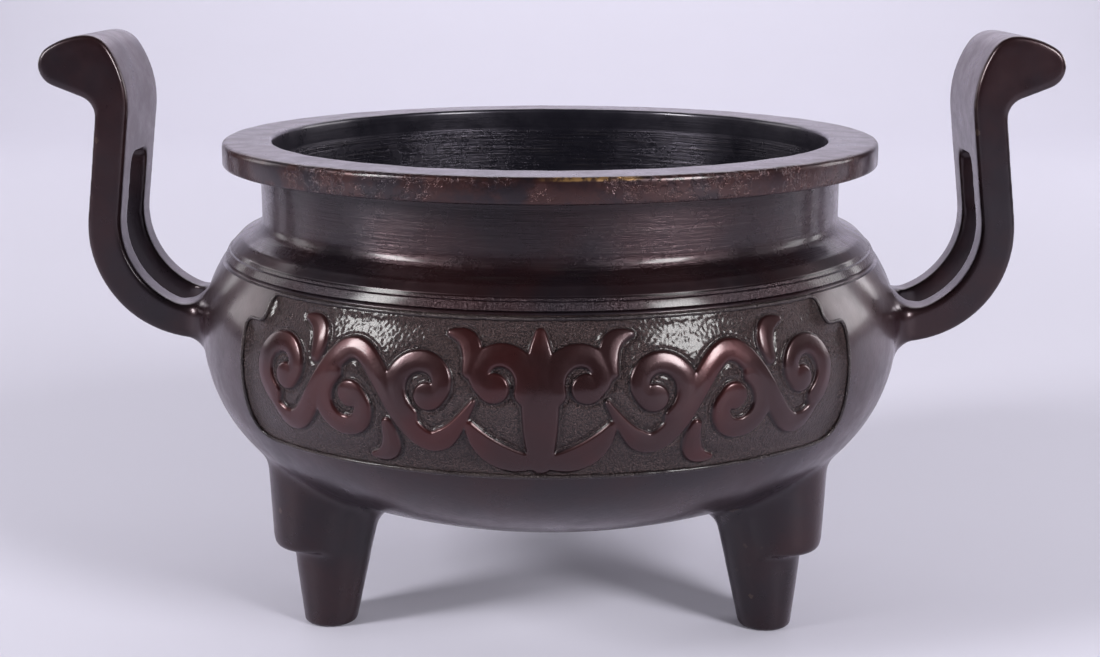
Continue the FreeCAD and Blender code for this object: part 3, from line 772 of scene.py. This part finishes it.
HANDLE_VOXEL = 0.42 * MM
HANDLE_SOFTENING = 4
SMOOTHING = 0.5
HAND_DENT = 0.06 * MM
HAND_DENT_SCALE = 95
ROOT_REACH = 9.0 * MM
ROOT_BLEND = 3.5 * MM
ROOT_SOFTENING = 14
SKIRT_LIFT = 0.05 * MM
SKIRT_SINK = 0.35 * MM
SKIRT_THICKNESS = 1.6 * MM
SEAT_GAP = 0.25 * MM
BOWL_MIDDLE = Vector((0, 0, BELLY_HEIGHT))
RUBBED_BROWN = (0.11, 0.075, 0.055, 1)
RUBBED_NOISE = (160.0, 4.0)
RUBBED_STRETCH = (0.42, 0.62)
RUBBED_SHARE = 0.45
EDGE_STRETCH = (0.52, 0.57)

turned_bowl.normal_update()
bowl_tree = BVHTree.FromBMesh(turned_bowl)


def root_places(casting):
    """Where a casting's mesh meets the outside of the bowl."""
    places = []
    for vert in casting.verts:
        spot, normal, index, distance = bowl_tree.find_nearest(vert.co)
        if distance < SEAT_GAP and normal.dot(spot - BOWL_MIDDLE) > 0:
            places.append(vert.co.copy())
    tree = KDTree(len(places))
    for index, place in enumerate(places):
        tree.insert(place, index)
    tree.balance()
    return tree


def add_skirt(casting, roots):
    """Adds the bowl's skin round a casting's root, which sinks into the bowl away from the root."""
    skirt = turned_bowl.copy()
    far = [face for face in skirt.faces if roots.find(face.calc_center_median())[2] > ROOT_REACH
           or face.normal.dot(face.calc_center_median() - BOWL_MIDDLE) < 0]
    bmesh.ops.delete(skirt, geom=far, context="FACES")
    for vert in skirt.verts:
        share = min(roots.find(vert.co)[2] / ROOT_REACH, 1)
        lift = SKIRT_LIFT - SKIRT_SINK * share ** 3
        vert.co += vert.normal * lift
    bmesh.ops.solidify(skirt, geom=skirt.faces[:], thickness=SKIRT_THICKNESS)
    bmesh.ops.recalc_face_normals(skirt, faces=skirt.faces)
    mesh = bpy.data.meshes.new("skirt")
    skirt.to_mesh(mesh)
    skirt.free()
    casting.from_mesh(mesh)
    bpy.data.meshes.remove(mesh)


def soften(bm, verts, times):
    """Smooths some of a mesh's vertices, over and over."""
    for _ in range(times):
        bmesh.ops.smooth_vert(
            bm, verts=verts, factor=SMOOTHING, use_axis_x=True, use_axis_y=True, use_axis_z=True)


def soft_casting(node, voxel, softening, ledge):
    """A CAD casting's copy, run into the bowl, softened and a little uneven by hand."""
    casting = bmesh.new()
    casting.from_mesh(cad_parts[node].data)
    bmesh.ops.remove_doubles(casting, verts=casting.verts, dist=MERGE)
    roots = root_places(casting)
    add_skirt(casting, roots)
    rough_piece = finished(casting, node + "_rough")
    remesh = rough_piece.modifiers.new("even", "REMESH")
    remesh.mode = "VOXEL"
    remesh.voxel_size = voxel
    bm = evaluated_bmesh(rough_piece)
    near_root = [vert for vert in bm.verts if roots.find(vert.co)[2] < ROOT_BLEND]
    ledge_bottom, ledge_top, ledge_softening = ledge
    near_ledge = [vert for vert in bm.verts if ledge_bottom < vert.co.z < ledge_top]
    soften(bm, bm.verts, softening)
    soften(bm, near_root, ROOT_SOFTENING)
    soften(bm, near_ledge, ledge_softening)
    bm.normal_update()
    for vert in bm.verts:
        vert.co += vert.normal * HAND_DENT * noise.noise(vert.co * HAND_DENT_SCALE)
        vert.co.z = max(vert.co.z, 0)
    return finished(bm, node + "_cast")


def worn_bronze(name):
    """Patina with convex edges rubbed towards a lighter brown."""
    shader = Shader(name)
    colour, rough, heights = patina(shader)
    pointed = shader.node("ShaderNodeNewGeometry").outputs["Pointiness"]
    rubbed = shader.math("MULTIPLY", shader.spread(pointed, *EDGE_STRETCH),
                         shader.spread(shader.noise(*RUBBED_NOISE), *RUBBED_STRETCH))
    colour = shader.mix(shader.math("MULTIPLY", rubbed, RUBBED_SHARE), colour, RUBBED_BROWN)
    shader.relief(heights)
    return shader.finish(colour, rough)


def dress(node, voxel, softening, material, ledge=(0, 0, 0)):
    """The softened piece that stands for a CAD casting, with its finish."""
    piece = soft_casting(node, voxel, softening, ledge)
    piece.data.materials.clear()
    piece.data.materials.append(material)
    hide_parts(node)
    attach(piece, "root")


handle_finish = worn_bronze("handle_bronze")
for node in ("handle_left", "handle_right"):
    dress(node, HANDLE_VOXEL, HANDLE_SOFTENING, handle_finish)


# Legs
# Three cast bronze legs, each a tapering stem under a fuller knee, run into the belly with a soft fillet.
# The knee's ledge flares softly into the stem, and each leg stands on a small flat foot.

LEG_VOXEL = 0.38 * MM
LEG_SOFTENING = 4
KNEE_BOTTOM = 13.5 * MM
KNEE_TOP = 20.5 * MM
KNEE_SOFTENING = 20

leg_finish = worn_bronze("leg_bronze")
for node in ("leg_front_left", "leg_front_right", "leg_rear"):
    dress(node, LEG_VOXEL, LEG_SOFTENING, leg_finish, (KNEE_BOTTOM, KNEE_TOP, KNEE_SOFTENING))
turned_bowl.free()


# Studio
# A pale card lies flat as the table and sweeps up into the backdrop. Two soft boxes stand in front, one
# light washes the backdrop, and three soft lights fill from behind.

TABLE_HALF_WIDTH = 2.2
TABLE_FRONT = -1.6
TABLE_BACK = 0.9
BACKDROP_HEIGHT = 1.8
BACKDROP_BEND = 0.5
BACKDROP_STEPS = 12
CARD_ROUGHNESS = 0.6
PALE_LILAC = (0.62, 0.602, 0.70, 1)
ROOM_LILAC = (0.80, 0.79, 0.88, 1)
ROOM_STRENGTH = 0.08
BELLY_AIM = (0, 0, 0.07)
FOOT_AIM = (0, 0, 0.02)
BACKDROP_AIM = (0, 1.4, 0.22)


def backdrop():
    """A sheet that lies flat under the censer and sweeps up behind it."""
    bm = bmesh.new()
    run = [bm.verts.new((-TABLE_HALF_WIDTH, TABLE_FRONT, 0))]
    for step in range(BACKDROP_STEPS + 1):
        angle = math.radians(90 * step / BACKDROP_STEPS)
        run.append(bm.verts.new((
            -TABLE_HALF_WIDTH, TABLE_BACK + BACKDROP_BEND * math.sin(angle),
            BACKDROP_BEND * (1 - math.cos(angle)))))
    run.append(bm.verts.new((-TABLE_HALF_WIDTH, TABLE_BACK + BACKDROP_BEND, BACKDROP_HEIGHT)))
    edges = [bm.edges.new(pair) for pair in zip(run, run[1:])]
    swept = bmesh.ops.extrude_edge_only(bm, edges=edges)["geom"]
    moved = [part for part in swept if isinstance(part, bmesh.types.BMVert)]
    bmesh.ops.translate(bm, verts=moved, vec=(2 * TABLE_HALF_WIDTH, 0, 0))
    bmesh.ops.recalc_face_normals(bm, faces=bm.faces)
    sheet = finished(bm, "backdrop")
    shader = Shader("backdrop_card")
    sheet.data.materials.append(shader.finish(PALE_LILAC, CARD_ROUGHNESS, metallic=0.0, coat=0.0))


def soft_box(name, place, aim, width, height, power):
    """A rectangular light, in metres and watts, turned from its place towards its aim."""
    light = bpy.data.lights.new(name, "AREA")
    light.shape = "RECTANGLE"
    light.size = width
    light.size_y = height
    light.energy = power
    box = bpy.data.objects.new(name, light)
    box.location = place
    box.rotation_euler = (Vector(aim) - Vector(place)).to_track_quat("-Z", "Y").to_euler()
    scene.collection.objects.link(box)


backdrop()
soft_box("soft_box_left", (-0.78, -0.42, 0.50), BELLY_AIM, width=0.20, height=0.40, power=8.3)
soft_box("soft_box_right", (0.66, -0.62, 0.50), BELLY_AIM, width=0.23, height=0.40, power=9.2)
soft_box("backdrop_light", (0.0, 1.0, 1.0), BACKDROP_AIM, width=1.6, height=0.3, power=8.8)
soft_box("fill_back_left", (-0.9, 0.5, 0.30), FOOT_AIM, width=0.6, height=0.4, power=1.9)
soft_box("fill_back_right", (0.9, 0.5, 0.30), FOOT_AIM, width=0.6, height=0.4, power=3.6)
soft_box("fill_back", (0.0, 0.80, 0.55), FOOT_AIM, width=1.6, height=0.35, power=1.1)
world = bpy.data.worlds.new("studio")
world.use_nodes = True
room = world.node_tree.nodes["Background"]
room.inputs["Color"].default_value = ROOM_LILAC
room.inputs["Strength"].default_value = ROOM_STRENGTH
scene.world = world
scene.view_settings.view_transform = "Standard"


# Camera
# A close view, a little to the right of the front and from above the rim. Its place, its bearing and pitch
# in radians, and its lens in mm were fitted to the rings of the rim, the ridge and the belly.

CAMERA_PLACE = Vector((8.95 * MM, -377.9 * MM, 142.0 * MM))
CAMERA_BEARING = 0.02368
CAMERA_PITCH = 0.21859
FOCAL_LENGTH = 57.11
SENSOR_WIDTH = 36.0
NEAR_CLIP = 0.01

ahead = Vector((
    -math.sin(CAMERA_BEARING) * math.cos(CAMERA_PITCH),
    math.cos(CAMERA_BEARING) * math.cos(CAMERA_PITCH), -math.sin(CAMERA_PITCH)))
across = Vector((math.cos(CAMERA_BEARING), math.sin(CAMERA_BEARING), 0))
upwards = across.cross(ahead)
lens = bpy.data.cameras.new("camera")
lens.lens = FOCAL_LENGTH
lens.sensor_width = SENSOR_WIDTH
lens.clip_start = NEAR_CLIP
camera = bpy.data.objects.new("camera", lens)
camera.matrix_world = Matrix((
    (across.x, upwards.x, -ahead.x, CAMERA_PLACE.x),
    (across.y, upwards.y, -ahead.y, CAMERA_PLACE.y),
    (across.z, upwards.z, -ahead.z, CAMERA_PLACE.z),
    (0, 0, 0, 1)))
scene.collection.objects.link(camera)
scene.camera = camera
